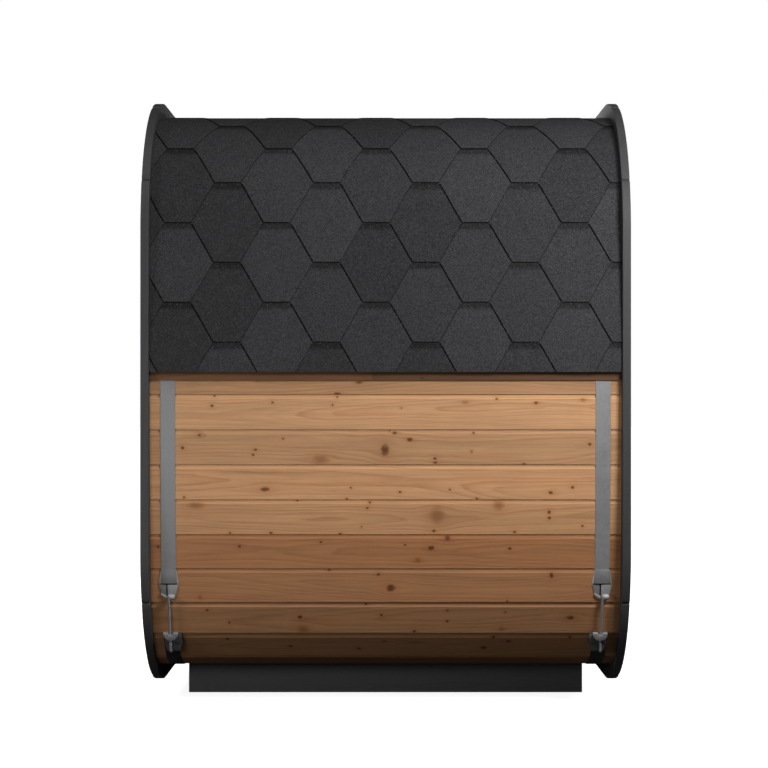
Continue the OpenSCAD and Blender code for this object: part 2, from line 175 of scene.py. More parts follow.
class Graph:
    """The nodes of a material or a world, written as plain arithmetic."""

    def __init__(self, owner):
        owner.use_nodes = True
        self.owner, self.tree = owner, owner.node_tree
        self.tree.nodes.clear()

    def put(self, socket, value):
        if isinstance(value, Value):
            self.tree.links.new(value.socket, socket)
            return
        if isinstance(value, tuple) and len(socket.default_value) == 4:
            value = (*value, 1)
        socket.default_value = value

    def node(self, kind, inputs, **settings):
        """A new node. inputs: by number or by name."""
        made = self.tree.nodes.new("ShaderNode" + kind)
        for name, value in settings.items():
            setattr(made, name, value)
        for key, value in inputs.items():
            self.put(made.inputs[key], value)
        return made

    def value(self, kind, inputs, output=0, **settings):
        return Value(self, self.node(kind, inputs, **settings).outputs[output])

    def math(self, operation, *values, clamp=False):
        return self.value("Math", dict(enumerate(values)), operation=operation, use_clamp=clamp)

    def vector(self, *values):
        return self.value("CombineXYZ", dict(enumerate(values)))

    def split(self, vector):
        """The three numbers of a vector or a colour."""
        return [Value(self, socket) for socket in self.node("SeparateXYZ", {0: vector}).outputs]

    def attribute(self, name):
        """The four numbers of a colour attribute. Of a vector attribute only the first three count."""
        node = self.node("Attribute", {}, attribute_name=name)
        return [*self.split(Value(self, node.outputs["Vector"])), Value(self, node.outputs["Alpha"])]

    def noise(self, x, y, z, detail=2, rough=0.5):
        inputs = {"Vector": self.vector(x, y, z), "Scale": 1, "Detail": detail, "Roughness": rough}
        return self.value("TexNoise", inputs, "Fac")

    def sway(self, *place, **settings):
        """Noise about zero."""
        return self.noise(*place, **settings) - 0.5

    def white(self, *place):
        return self.value("TexWhiteNoise", {"Vector": self.vector(*place)}, "Value")

    def cells(self, vector, scale):
        """Three random numbers for each cell of a Voronoi pattern."""
        return self.split(self.value("TexVoronoi", {"Vector": vector, "Scale": scale}, "Color"))

    def between(self, value, low, high, out_low=0, out_high=1):
        """Smooth step of a value from low to high."""
        inputs = dict(enumerate((value, low, high, out_low, out_high)))
        return self.value("MapRange", inputs, interpolation_type="SMOOTHSTEP")

    def mix(self, factor, a, b, blend="MIX"):
        return self.value("Mix", {0: factor, 6: a, 7: b}, 2, data_type="RGBA", blend_type=blend)

    def scaled(self, colour, factor):
        """A colour multiplied by a number."""
        return self.value("VectorMath", {0: colour, "Scale": factor}, operation="SCALE")

    def ray(self, kind):
        """1 for rays of one kind, 0 for the others."""
        return self.value("LightPath", {}, f"Is {kind} Ray")

    def bump(self, height, distance):
        return self.value("Bump", {"Height": height, "Distance": distance})

    def surface(self, colour, roughness, normal, specular, metallic=0):
        inputs = {"Base Color": colour, "Roughness": roughness, "Normal": normal}
        inputs |= {"Specular IOR Level": specular, "Metallic": metallic}
        return self.finish(self.value("BsdfPrincipled", inputs))

    def finish(self, shader, output="OutputMaterial"):
        self.node(output, {"Surface": shader})
        return self.owner


KNOT_SLOTS = 5
NO_KNOT = (9, 9, 0.001, 0.001)


def bent_round_knots(g, u, v, seed):
    """Place across the grain, bent round the knots, and the masks of hard knots, pale ones and halos."""
    q = v
    masks = None
    wobble = g.noise(u * 90, v * 110, seed * 50, detail=1) * 0.7 - 0.35
    for slot in range(KNOT_SLOTS):
        knot_u, knot_v, half_u, half_v = g.attribute(f"knot{slot}")
        du = (u - knot_u) / g.math("ABSOLUTE", half_u)
        dv = (v - knot_v) / half_v
        d2 = du * du + dv * dv
        near = g.math("EXPONENT", (du * du * 0.1 + dv * dv * 0.26) * -1)
        q = q - (v - knot_v) * near * 0.82
        d = g.math("SQRT", d2) + wobble
        is_hard = g.math("GREATER_THAN", half_u, 0)
        core = g.between(d, 1.15, 0.35) * is_hard
        pale = g.between(d, 1.7, 0.2) * (1 - is_hard)
        here = (core, pale, g.math("EXPONENT", d2 * -0.22))
        masks = [g.math("MAXIMUM", a, b) for a, b in zip(masks, here)] if masks else here
    return q, masks


def year_rings(g, u, v, w, q, seed, spacing):
    """Place across the grain, with long waves, and the year ring, counted from a pith that wanders."""
    q = q + g.sway(u * 1.3, seed * 37, 0, detail=1) * 0.03
    pith = g.sway(u * 0.8, seed * 51, 9, detail=0)
    depth = g.noise(u * 1.1, seed * 73, 4, detail=1)
    off = q - pith * 0.16 - 0.055
    sunk = depth * 0.11 - 0.018 + w
    r = g.math("SQRT", off * off + sunk * sunk)
    ripple = g.noise(u * 11, v * 60, seed * 19)
    return q, r / spacing + ripple * 0.55


def board_graph(name):
    """A new material, the place on a board along, across and in, and the board's four numbers."""
    g = Graph(bpy.data.materials.new(name))
    return g, *g.attribute("grain")[:3], *g.attribute("board")


def wood_material(name, early, late):
    g, u, v, w, tone, seed, warmth, spacing = board_graph(name)
    q, (hard, soft, halo) = bent_round_knots(g, u, v, seed)
    q, ring = year_rings(g, u, v, w, q, seed, spacing)
    phase = g.math("FRACT", ring)
    year = g.white(g.math("FLOOR", ring), seed * 91, 0)
    line = (phase ** 2.4) * g.between(phase, 1, 0.9) * (year * 0.8 + 0.2)
    broad = g.sway(u * 1.7, q * 26, seed * 17)
    streak = g.sway(u * 4.5, q * 150, seed * 23, detail=3, rough=0.6)
    fibre = g.sway(u * 30, v * 1100, w * 1100, detail=1)
    blotch = g.sway(u * 9, v * 14, seed * 29)
    colour = g.mix(line * 0.66, early, late)
    colour = g.mix((broad * 2.4 - 0.1).clamped() * 0.75, colour, late)
    colour = g.mix(warmth, colour, g.mix(1, colour, (1, 0.81, 0.68), "MULTIPLY"))
    light = (broad * 0.5 + streak * 0.5 + fibre * 0.22 + blotch * 0.14 + 1.04) * tone
    halo_tint = g.mix(halo * 0.38, (1, 1, 1), (0.78, 0.58, 0.4))
    colour = g.mix(1, g.scaled(colour, light), halo_tint, "MULTIPLY")
    inner = g.noise(u * 260, v * 260, seed, detail=1)
    dark = g.mix(inner, (0.075, 0.017, 0.003), (0.17, 0.052, 0.012))
    colour = g.mix(soft * 0.6, colour, g.scaled((0.21, 0.08, 0.028), tone))
    colour = g.mix(hard * 0.9, colour, g.scaled(dark, tone))
    height = line * -0.4 + fibre * 0.35 + streak * 0.5 - hard * 0.5
    return g.surface(colour, 0.66 - hard * 0.14, g.bump(height, 0.0006), specular=0.28)


def paint_material(name, base):
    g, u, v, w, tone, seed, _, spacing = board_graph(name)
    q, ring = year_rings(g, u, v, w, v, seed, spacing)
    line = g.math("FRACT", ring) ** 2
    streak = g.sway(u * 5, q * 170, seed * 23, detail=3, rough=0.6)
    fibre = g.sway(u * 24, v * 900, w * 900, detail=1)
    broad = g.sway(u * 2.4, v * 9, seed * 17 + w * 9)
    light = (broad * 0.22 + streak * 0.22 + fibre * 0.14 - line * 0.1 + 1.05) * tone
    height = streak * 0.6 + fibre * 0.35 - line * 0.25
    return g.surface(g.scaled(base, light), streak * 0.15 + 0.56, g.bump(height, 0.0006), specular=0.22)


def shingle_material(name, base):
    g = Graph(bpy.data.materials.new(name))
    u, v, t, tone = g.attribute("tab")
    grain, glint, _ = g.cells(g.vector(u, v, t * 0.02), 330)
    fine = g.sway(u * 420, v * 420, tone)
    cloud = g.sway(u * 24, v * 24, tone * 13, detail=3)
    speck = grain - 0.5
    edge = t + g.sway(u * 60, v * 60, tone) * 0.05
    band = g.between(edge, 0.9, 0.955)
    light = (speck * 0.75 + fine * 1.1 + cloud * 0.16 + 1) * tone * (1 - band * 0.44)
    colour = g.mix(g.between(glint, 0.93, 0.99) * 0.35, g.scaled(base, light), (0.11, 0.11, 0.115))
    return g.surface(colour, 0.86, g.bump(speck + fine * 0.7, 0.0011), specular=0.07)


def steel_material(name, base):
    g, u, v, w, tone, seed, _, _ = board_graph(name)
    flake = g.cells(g.vector(u, v, w), 150)[0] - 0.5
    brushed = g.sway(u * 14, v * 700, w * 700)
    cloud = g.sway(u * 16, v * 16, w * 16 + seed, detail=3)
    light = (flake * 0.1 + brushed * 0.12 + cloud * 0.2 + 1) * tone
    rough = cloud * 0.2 + flake * 0.08 + 0.52
    bump = g.bump(brushed + cloud, 0.0003)
    return g.surface(g.scaled(base, light), rough, bump, specular=0.4, metallic=0.35)


def glass_material(name):
    """Tinted glass that lets lamp light and daylight straight through."""
    g = Graph(bpy.data.materials.new(name))
    u, v, w, _ = g.attribute("grain")
    smear = g.sway(u * 6, v * 6, w, detail=3)
    tint = g.scaled((0.3, 0.25, 0.21), smear * 0.06 + 1)
    inputs = {"Base Color": tint, "Roughness": smear * 0.02 + 0.03, "IOR": 1.45, "Transmission Weight": 1}
    glass = g.value("BsdfPrincipled", inputs)
    clear = g.value("BsdfTransparent", {0: (0.32, 0.27, 0.23)})
    through = g.math("MAXIMUM", g.ray("Shadow"), g.ray("Diffuse"))
    return g.finish(g.value("MixShader", {0: through, 1: glass, 2: clear}))


# The materials by the names of their slots
MATERIALS = {
    "thermo_wood": wood_material("thermo_wood", (0.5, 0.275, 0.135), (0.3, 0.128, 0.052)),
    "black_paint": paint_material("black_paint", (0.05, 0.05, 0.052)),
    "shingle": shingle_material("shingle", (0.037, 0.037, 0.039)),
    "steel": steel_material("galvanised_steel", (0.3, 0.3, 0.3)),
    "glass": glass_material("tinted_glass"),
}

# ---- meshes


def fill(mesh, name, kind, domain, values):
    """Write numbers into a new attribute of a mesh."""
    data = mesh.attributes.new(name, kind, domain).data
    data.foreach_set("vector" if kind == "FLOAT_VECTOR" else "color", values)


def added(name, data):
    """A new object in the scene."""
    made = bpy.data.objects.new(name, data)
    bpy.context.scene.collection.objects.link(made)
    return made


def new_mesh(name, points, faces):
    mesh = bpy.data.meshes.new(name)
    mesh.from_pydata(points, [], faces)
    return mesh


def show(name, mesh, slot, node, smooth):
    """Add a mesh in the place of a CAD node. smooth: the largest angle that is shaded round."""
    mesh.materials.append(MATERIALS[slot])
    mesh.polygons.foreach_set("use_smooth", [True] * len(mesh.polygons))
    mesh.update()
    mesh.set_sharp_from_angle(angle=math.radians(smooth))
    made = added(name, mesh)
    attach(made, "root")
    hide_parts(node)


class Pieces:
    """Gathers boards or parts of one finish as one mesh."""

    def __init__(self):
        self.verts, self.faces, self.grain, self.board, self.knots = [], [], [], [], []

    def add(self, solid, axes, board, knots=()):
        """axes: origin, along, across and depth. board: tone, seed, warmth and ring spacing."""
        points, faces = solid
        origin, *directions = axes
        first = len(self.verts)
        self.verts += points
        local = [[(p - origin).dot(d) for d in directions] for p in points]
        for face in faces:
            self.faces.append([first + i for i in face])
            for i in face:
                self.grain += local[i]
            self.board += board
            low = min(local[i][0] for i in face)
            high = max(local[i][0] for i in face)
            near = sorted(knots, key=lambda k: max(0, low - k[0], k[0] - high) / (0.02 + abs(k[2])))
            self.knots.append((near + [NO_KNOT] * KNOT_SLOTS)[:KNOT_SLOTS])

    def object(self, name, slot, node, smooth=14):
        mesh = new_mesh(name, self.verts, self.faces)
        fill(mesh, "grain", "FLOAT_VECTOR", "CORNER", self.grain)
        fill(mesh, "board", "FLOAT_COLOR", "FACE", self.board)
        if slot == "thermo_wood":
            for i in range(KNOT_SLOTS):
                fill(mesh, f"knot{i}", "FLOAT_COLOR", "FACE", [x for near in self.knots for x in near[i]])
        show(name, mesh, slot, node, smooth)


def single(name, slot, node, solid, axes, board):
    """A visual piece of one solid."""
    pieces = Pieces()
    pieces.add(solid, axes, board)
    pieces.object(name, slot, node)


def loft(sections):
    """A solid, as its points and its faces, through rings of points."""
    n = len(sections[0])
    points = [p for section in sections for p in section]
    faces = []
    for s in range(len(sections) - 1):
        for i in range(n):
            j = (i + 1) % n
            faces.append([s * n + i, s * n + j, (s + 1) * n + j, (s + 1) * n + i])
    faces.append(list(range(n))[::-1])
    faces.append(list(range(len(points) - n, len(points))))
    return points, faces


def bevelled(solid, width, segments=2):
    """The same solid with its sharp edges rounded and its faces turned outwards."""
    points, faces = solid
    bm = bmesh.new()
    verts = [bm.verts.new(p) for p in points]
    for face in faces:
        bm.faces.new([verts[i] for i in face])
    bmesh.ops.recalc_face_normals(bm, faces=bm.faces)
    if width:
        sharp = [e for e in bm.edges if e.calc_face_angle(0) > math.radians(20)]
        bmesh.ops.bevel(
            bm, geom=sharp, offset=width, segments=segments, affect="EDGES", profile=0.5, clamp_overlap=True
        )
    bm.verts.index_update()
    rounded = [v.co.copy() for v in bm.verts], [[v.index for v in f.verts] for f in bm.faces]
    bm.free()
    return rounded


def across(p, y):
    """A point of an outline drawn across the cabin."""
    return at(p[0], y, p[1])


def prism(outline, start, end, width, segments=2, place=across):
    """A bevelled prism of an outline that place sets in the cabin."""
    sections = [[place(p, level) for p in outline] for level in (start, end)]
    return bevelled(loft(sections), width, segments)


def block(low, high, width, segments=2):
    """A bevelled box between two corners given about the shell's middle."""
    outline = [(low[0], low[2]), (high[0], low[2]), (high[0], high[2]), (low[0], high[2])]
    return prism(outline, low[1], high[1], width, segments)


def oval(x, z, half_w, half_h, sides):
    """Points of a circle or an oval."""
    turns = [2 * math.pi * i / sides for i in range(sides)]
    return [(x + half_w * math.cos(t), z + half_h * math.sin(t)) for t in turns]


def mirrored(p):
    return Vector((-p.x, p.y, p.z))


def flipped(solid):
    """The same solid on the other side of the cabin."""
    points, faces = solid
    return [mirrored(p) for p in points], [face[::-1] for face in faces]


# ---- staves

# Knots of the staves that the photograph shows. Each row: the distance along the
# cabin and the distance below the stave's upper edge, then the half length and
# half height, in millimetres. A minus sign makes a pale knot.
PHOTO_KNOTS = {
    0: [(-166, 117, 15, 5), (-91, 79, 14, 5)],
    -1: [(-594, 39, 7, 6), (-387, 27, 6, 5), (-586, 5, 5, 4), (-166, 9, 4, 4), (-182, 36, 5, 5),
        (54, 46, 4, 3), (273, 27, -10, 5), (380, 15, 6, 5), (515, 29, 8, 6), (675, 18, -8, 5)],
    -2: [(-637, 19, 7, 6), (-695, 62, 8, 7), (-445, 69, 6, 5), (-454, 86, 6, 5), (-351, 31, 5, 4),
        (14, 2, 5, 4), (31, 12, 11, 6), (82, 34, 12, 8), (-2, 70, 17, 24), (-222, 103, -24, 13),
        (169, 99, 8, 6), (170, 113, 8, 5), (301, 11, 6, 5), (698, 50, 7, 6), (473, 117, 6, 4),
        (294, 75, -5, 5)],
    -3: [(-413, 84, 19, 10), (-691, 112, 5, 5), (-119, 79, 5, 5), (49, 94, 6, 5), (220, 86, 5, 4),
        (-133, 117, 5, 4), (640, 78, 7, 6), (566, 96, 11, 7), (312, 117, 5, 4)],
    -4: [(-651, 19, -24, 10), (-302, 3, 7, 4), (-54, 10, 6, 5), (-63, 29, 6, 5), (176, 55, -20, 24),
        (165, 108, 9, 6), (-83, 93, 4, 4), (-156, 117, 7, 4), (-534, 115, 5, 5), (-394, 115, 8, 5),
        (387, 18, -16, 16), (561, 43, 8, 7), (561, 63, 8, 7), (675, 91, 5, 5), (442, 112, 7, 5)],
    -5: [(-502, 42, 7, 6), (-781, 43, 6, 6), (211, 13, 12, 9), (156, 47, 13, 9), (-222, 26, 5, 5),
        (67, 36, 5, 4), (110, 89, -10, 8), (426, 49, 7, 6)],
    -6: [(-194, 5, 6, 5), (-25, 20, 7, 6), (18, 68, 18, 15), (570, 23, 8, 12), (418, 114, 5, 5),
        (-639, 100, -6, 5)],
    -7: [(-616, 31, 6, 5), (-541, 78, 5, 5), (-296, 58, 10, 8), (-285, 104, -17, 12), (-747, 66, 5, 5),
        (-68, 10, 6, 5), (-15, 50, 7, 6), (99, 112, 8, 6), (213, 32, 5, 4), (213, 74, 5, 5),
        (639, 60, 16, 9), (413, 38, -5, 5), (401, 104, -7, 6)],
    -8: [(-550, 34, 7, 6), (-331, 75, 8, 6), (-93, 88, 8, 6), (-5, 48, 10, 4), (375, 26, 7, 6),
        (427, 47, 10, 7), (343, 83, 15, 9), (640, 25, 7, 6)],
}
# Tone and warmth of the same staves
PHOTO_TONES = {
    0: (0.77, 0.1), -1: (1.03, 0), -2: (0.88, 0), -3: (1.07, 0.15), -4: (0.965, 0.15), -5: (0.7, 0.95),
    -6: (0.7, 0.75), -7: (0.68, 0.55), -8: (0.66, 0.4), -9: (0.66, 0.4),
}


rng = random.Random(11)


def some_knots(half, width):
    """Knots of a board nobody has seen, along -half to half."""
    made = []
    for _ in range(rng.randint(2, 4) + int(half * rng.uniform(1.5, 5))):
        size = rng.choice((4, 5, 5, 6, 6, 7, 8, 11, 15)) / 1000 * min(1, width / 0.1)
        kind = -1 if rng.random() < 0.2 else 1
        place = (rng.uniform(-half, half), rng.uniform(0.04, 0.96) * width)
        made.append((*place, kind * size, size * rng.uniform(0.6, 1)))
    return made


def some_board():
    """Tone, seed, warmth and ring spacing of a board nobody has seen."""
    tone, seed = rng.uniform(0.78, 1.05), rng.random() * 4
    return tone, seed, rng.choice((0, 0.1, 0.2, 0.8)), rng.uniform(0.007, 0.012)


# Cove along the upper edge of a stave: distances down its face, and depths
COVE = ((0, 0.004), (0.005, 0.0035), (0.01, 0.0022), (0.015, 0))
LOW_COVES = {
    -7: ((0, 0.008), (0.005, 0.0064), (0.0125, 0.004), (0.018, 0.0008), (0.019, 0)),
    -8: ((0, 0.0105), (0.006, 0.0085), (0.014, 0.0055), (0.0225, 0.002), (0.0255, 0)),
    -9: ((0, 0.0105), (0.004, 0.0098), (0.01, 0.007), (0.016, 0.003), (0.0185, 0)),
}
SQUARE = ((0, 0.0006), (0.0006, 0))
# Bevels along a board's lower outer edge and along its inner edges
LOW_EDGE = 0.001
IN_EDGE = 0.002


def shell_board(pieces, k, left, lift, thick, shoulder, steps, run=None):
    """One board between seams k and k + 1, or between the outer and the inner points of run."""
    outer, inner = run or [(seam(k + 1, lift + out), seam(k, lift + out)) for out in (thick, 0)]
    length = (outer[1] - outer[0]).length
    down = (outer[1] - outer[0]) / length

    def spot(v, w, end):
        """A point v down the face and w deep, along the upper (0) or the lower (1) edge."""
        return outer[end].lerp(inner[end], w / thick) + down * (v - length * end)

    corners = [(v, w, 0) for v, w in shoulder] + [
        (length - LOW_EDGE, 0, 1), (length, LOW_EDGE, 1), (length, thick - IN_EDGE, 1),
        (length - IN_EDGE, thick, 1), (IN_EDGE, thick, 0), (0, thick - IN_EDGE, 0),
    ]
    profile = [spot(*corner) for corner in corners]
    places = [-BOARD_END + 2 * BOARD_END * i / steps for i in range(steps + 1)]
    solid = bevelled(loft([[at(p.x, y, p.y) for p in profile] for y in places]), 0)
    origin = at(outer[0].x, 0, outer[0].y)
    axes = (origin, Y, Vector((down.x, 0, down.y)), Vector((down.y, 0, -down.x)))
    board = some_board()
    knots = some_knots(BOARD_END, length)
    if lift < 0 and not left and k in PHOTO_TONES:
        knots = [tuple(x / 1000 for x in knot) for knot in PHOTO_KNOTS.get(k, ())]
        board = (PHOTO_TONES[k][0], board[1], PHOTO_TONES[k][1], board[3])
    if left:
        solid, axes = flipped(solid), [mirrored(axis) for axis in axes]
    pieces.add(solid, axes, board, knots)


def stave(pieces, k, left):
    shell_board(pieces, k, left, -STAVE_T, STAVE_T, LOW_COVES.get(k, COVE), 20)


def roof_board(pieces, k, left, run=None):
    shell_board(pieces, k, left, ROOF_IN, ROOF_BOARD_T, SQUARE, 8, run)


def gather(name, node, make, first, last, lefts=(False, True)):
    """A visual piece of the staves or boards from first to last, of both sides or of one."""
    pieces = Pieces()
    for left in lefts:
        for k in range(first, last):
            make(pieces, k, left)
    pieces.object(name, "thermo_wood", node)


for side, left in SIDES:
    for name, node, first, last in (
        ("wall_staves", "wall", -CORNER_FIRST, CORNER_FIRST),
        ("corner_staves_top", "corner_staves_top", CORNER_FIRST, CORNER_LAST),
        ("corner_staves_low", "corner_staves_low", -CORNER_LAST, -CORNER_FIRST),
    ):
        gather(f"{name}_{side}", f"{node}_{side}", stave, first, last, [left])
gather("roof_staves_boards", "roof_staves", stave, CORNER_LAST, STAVES)
gather("floor_staves_boards", "floor_staves", stave, -STAVES, -CORNER_LAST)

# ---- rings

CORNER_AT = RING_HALF - RING_R
NOTCH = 0.006
END_DIP = 0.0026
RING_GAP = 0.0002
RING_BOARDS = (
    ("side", "sides", ((1, 0), (-1, 0))),
    ("top", "top_and_bottom", ((0, 1), (0, -1))),
    ("corner", "corners", ((1, 1), (-1, 1), (-1, -1), (1, -1))),
)


def ring_point(signs, r, angle):
    """A point about one corner of the ring. signs: which of the four corners."""
    t = math.radians(angle)
    return signs[0] * (CORNER_AT + r * math.cos(t)), signs[1] * (CORNER_AT + r * math.sin(t))


def ring_arc(signs, r, start, end, dip=0):
    """Points of a ring corner's arc. dip draws both ends in a little."""
    count = round(abs(end - start) / 1.5)
    shares = [i / count for i in range(count + 1)]
    return [ring_point(signs, r - dip * abs(2 * t - 1) ** 6, start + (end - start) * t) for t in shares]


def ring_board(kind, sx, sz):
    """Outline of a ring board, its outer corners notched where it meets the next board."""
    inner = RING_R - RING_W
    cut = math.degrees(NOTCH / RING_R)
    gap = math.degrees(RING_GAP / inner)
    low, high = RING_JOINT + gap, 90 - RING_JOINT - gap
    if kind == "corner":
        over = ring_arc((sx, sz), RING_R, low + cut, high - cut, dip=END_DIP)
        first, last = (ring_point((sx, sz), RING_R - END_DIP - NOTCH, angle) for angle in (low, high))
        return [first, *over, last, *ring_arc((sx, sz), inner, high, low)]
    if kind == "side":
        signs, mirror, start, joint, back = (sx, 1), (1, -1), 0, RING_JOINT - gap, -cut
    else:
        signs, mirror, start, joint, back = (1, sz), (-1, 1), 90, 90 - RING_JOINT + gap, cut
    half = ring_arc(signs, RING_R, start, joint + back) + [ring_point(signs, RING_R - NOTCH, joint)]
    half += ring_arc(signs, inner, start, joint)[::-1]
    return half + [(x * mirror[0], z * mirror[1]) for x, z in half[::-1]]


for end, y0 in (("front", -HALF_LENGTH), ("back", STAVE_END)):
    for kind, node, spots in RING_BOARDS:
        pieces = Pieces()
        for sx, sz in spots:
            along = {"side": Z, "top": X, "corner": Vector((-sx, 0, sz)).normalized()}[kind]
            axes = (at(sx * RING_HALF, y0, sz * RING_HALF), along, along.cross(Y), Y)
            tone, seed, _, spacing = some_board()
            solid = prism(ring_board(kind, sx, sz), y0, y0 + RING_T, 0.0016)
            pieces.add(solid, axes, (tone, seed, 0, spacing * 1.3))
        pieces.object(f"{end}_ring_boards_{node}", "black_paint", f"{end}_ring_{node}", smooth=22)

# ---- roof

# The lip: thin boards over the straps that end the roof, butted near the middle
LIP_JOINT = -0.043
LIP_GAP = 0.0008
LIP_EDGE = 0.0385
LIP_OUT = 0.006
LIP_KNOT = (0.124, 0.024, 0.005, 0.004)
ROOF_OUT = ROOF_IN + ROOF_BOARD_T

for side, left in SIDES:
    pieces = Pieces()
    ends = ((LIP_EDGE, ROOF_IN), (LIP_EDGE, LIP_OUT), (SHINGLE_EDGE, LIP_OUT), (SHINGLE_EDGE, ROOF_IN))
    outline = [top_at(s, out) for s, out in ends]
    # The lip boards' low tones: partly darker wood, partly painted shade under the shingle edge
    for y0, y1, tone in ((-BOARD_END, LIP_JOINT - LIP_GAP, 0.26), (LIP_JOINT + LIP_GAP, BOARD_END, 0.2)):
        solid = prism(outline, y0, y1, 0.0003)
        axes = (at(outline[1].x, 0, outline[1].y + 0.031), Y, -Z, -X)
        if left:
            solid, axes = flipped(solid), [mirrored(axis) for axis in axes]
        pieces.add(solid, axes, (tone, rng.random() * 4, 1, 0.009), [] if left else [LIP_KNOT])
    roof_board(pieces, 0, left, [(seam(1, out), top_at(SHINGLE_EDGE, out)) for out in (ROOF_OUT, ROOF_IN)])
    for k in range(1, CORNER_FIRST):
        roof_board(pieces, k, left)
    pieces.object(f"roof_and_lip_boards_{side}", "thermo_wood", f"roof_boards_{side}")
    node = f"roof_boards_corner_{side}"
    gather(f"roof_corner_boards_{side}", node, roof_board, CORNER_FIRST, CORNER_LAST, [left])
gather("roof_top_boards", "roof_boards_top", roof_board, CORNER_LAST, STAVES)

# Shingles: strips of hexagonal tabs, each strip half a tab along from the last.
# A point of a tab is its place along the cabin, its distance up the roof, its
# lift, and how far up its strip it lies.
TAB_PITCH = 0.3397
TAB_END = 0.0918
TAB_GROW = (0.2479 - TAB_END) / 2
TAB_STEPS = 8
ROW_START = 0.1648
COURSE = 0.1362
ROW_PHASE = (-0.589 + TAB_END / 2, -0.759 + TAB_END / 2)
LEFT_PHASE = 0.11
COVER_END = STAVE_END - 0.0004
# Cut edges: their width, their tone toward -Y and +Y, and where on a strip they count as lying. A cut is dark
# because bitumen is dark. The -Y slopes and the lower ends are far darker than the +Y slopes as painted shade
TAB_CHAMFER = 0.005
SLOPE = math.cos(math.atan(TAB_GROW / COURSE))
CUT_IN = {-1: TAB_CHAMFER / SLOPE, 1: TAB_CHAMFER / 2 / SLOPE}
CUT_BITUMEN_AND_PAINTED_SHADE = {-1: 0.05, 1: 0.42}
CUT_AT = 0.3
NEAR = 1e-6


class Tabs:
    """Gathers shingle tabs as one mesh."""

    def __init__(self):
        self.verts, self.faces, self.tab = [], [], []

    def grid(self, rows, left, shade):
        """Rows of points of a tab, joined into faces."""
        first = len(self.verts)
        width = len(rows[0])
        local = []
        for row in rows:
            for y, s, out, t in row:
                p = top_at(s, out)
                self.verts.append(at(-p.x if left else p.x, y, p.y))
                local.append((y + (5 if left else 0), s, t, shade))
        for r in range(len(rows) - 1):
            for c in range(width - 1):
                face = [r * width + c, r * width + c + 1, (r + 1) * width + c + 1, (r + 1) * width + c]
                p0, p1, p2, p3 = (self.verts[first + i] for i in face)
                if (p2 - p0).cross(p3 - p1).length < 4e-7:
                    continue
                if left:
                    face = face[::-1]
                self.faces.append([first + i for i in face])
                for i in face:
                    self.tab += local[i]

    def object(self, name, node):
        mesh = new_mesh(name, self.verts, self.faces)
        fill(mesh, "tab", "FLOAT_COLOR", "CORNER", self.tab)
        show(name, mesh, "shingle", node, 25)


def strip_out(t):
    """Lift of a strip's upper face, t strips up from its tabs' ends."""
    return COVER_OUT - 0.0001 - 0.003 * min(t, 1.06)


def clipped(y):
    return min(max(y, -COVER_END), COVER_END)


def tab_half(s):
    """Half the width of a tab's tapered half, s up from its end."""
    return TAB_END / 2 + TAB_GROW * s / COURSE


def tab_levels(start, s_low, s_high):
    """Distances up the roof of a tab's rows of points, between two limits."""
    steps = [COURSE * i / TAB_STEPS for i in range(1, 2 * TAB_STEPS + 2)]
    levels = {start + up for up in (TAB_CHAMFER, COURSE + 0.0001, *steps) if s_low <= start + up <= s_high}
    return sorted(levels | {edge for edge in (s_low, s_high) if TAB_CHAMFER < edge - start < steps[-1]})


def shingle_tab(tabs, row, centre, s_low, s_high, left, shade):
    """One tab of a strip: its tapered lower half and its full upper half."""
    start = ROW_START + row * COURSE
    levels = tab_levels(start, s_low, s_high)
    if len(levels) < 2:
        return
    rows = []
    for s in levels:
        low, high = -TAB_PITCH / 2, TAB_PITCH / 2
        if s <= start + COURSE:
            low, high = CUT_IN[-1] - tab_half(s - start), tab_half(s - start) - CUT_IN[1]
        t = (s - start) / (2 * COURSE)
        rows.append([(clipped(centre + low + (high - low) * i / 4), s, strip_out(t), t) for i in range(5)])
    tabs.grid(rows, left, shade)
    tapered = [row for row in rows if row[0][1] <= start + COURSE + NEAR]
    if len(tapered) > 1:
        cut_edges(tabs, tapered, start, centre, s_low, left, shade)


def cut_edges(tabs, rows, start, centre, s_low, left, shade):
    """Cut edges along a tab's two slopes and its lower end."""
    for toward, end in ((-1, 0), (1, -1)):
        columns = []
        for y, s, out, _ in (row[end] for row in rows):
            full = clipped(centre + toward * tab_half(s - start))
            back = TAB_CHAMFER * 0.3 if s > s_low + NEAR else 0
            rims = [(full, s - back, out - fall, CUT_AT) for fall in (0.0017, 0.0042)]
            columns.append([(y, s, out, CUT_AT), *rims][::toward])
        # The -Y slope far darker than the +Y slope: painted shade
        tabs.grid(columns, left, shade * CUT_BITUMEN_AND_PAINTED_SHADE[toward])
    lowest = rows[0]
    s, out = lowest[0][1:3]
    if s > s_low + NEAR:
        wide = [y for y, *_ in lowest]
        wide[0] -= CUT_IN[-1] * 0.9
        wide[-1] += CUT_IN[1] * 0.9
        lines = [(clipped(y), s - TAB_CHAMFER) for y in wide]
        foot, rim = ([(*line, out - fall, CUT_AT) for line in lines] for fall in (0.0044, 0.0019))
        # The lower end as dark as the -Y slope: bitumen with painted shade
        tabs.grid([foot, rim, lowest], left, shade * CUT_BITUMEN_AND_PAINTED_SHADE[-1])
    else:
        face = [[(y, s, out - fall, CUT_AT) for y, *_ in lowest] for fall in (0.0048, 0)]
        tabs.grid(face, left, shade * 0.6)


def shingle_rows(tabs, s_low, s_high, left):
    """Every tab between two distances up the roof, clipped to them."""
    first = math.floor((s_low - ROW_START) / COURSE) - 2
    last = math.floor((s_high - ROW_START) / COURSE)
    for row in range(first, last + 1):
        phase = ROW_PHASE[row % 2] + (LEFT_PHASE if left else 0)
        for i in range(-2, 8):
            centre = phase + i * TAB_PITCH
            shade = rng.choice((0.83, 0.92, 0.97, 1, 1.05, 1.1)) * rng.uniform(0.97, 1.03)
            if abs(centre) < COVER_END + TAB_PITCH / 2:
                shingle_tab(tabs, row, centre, s_low, s_high, left, shade)


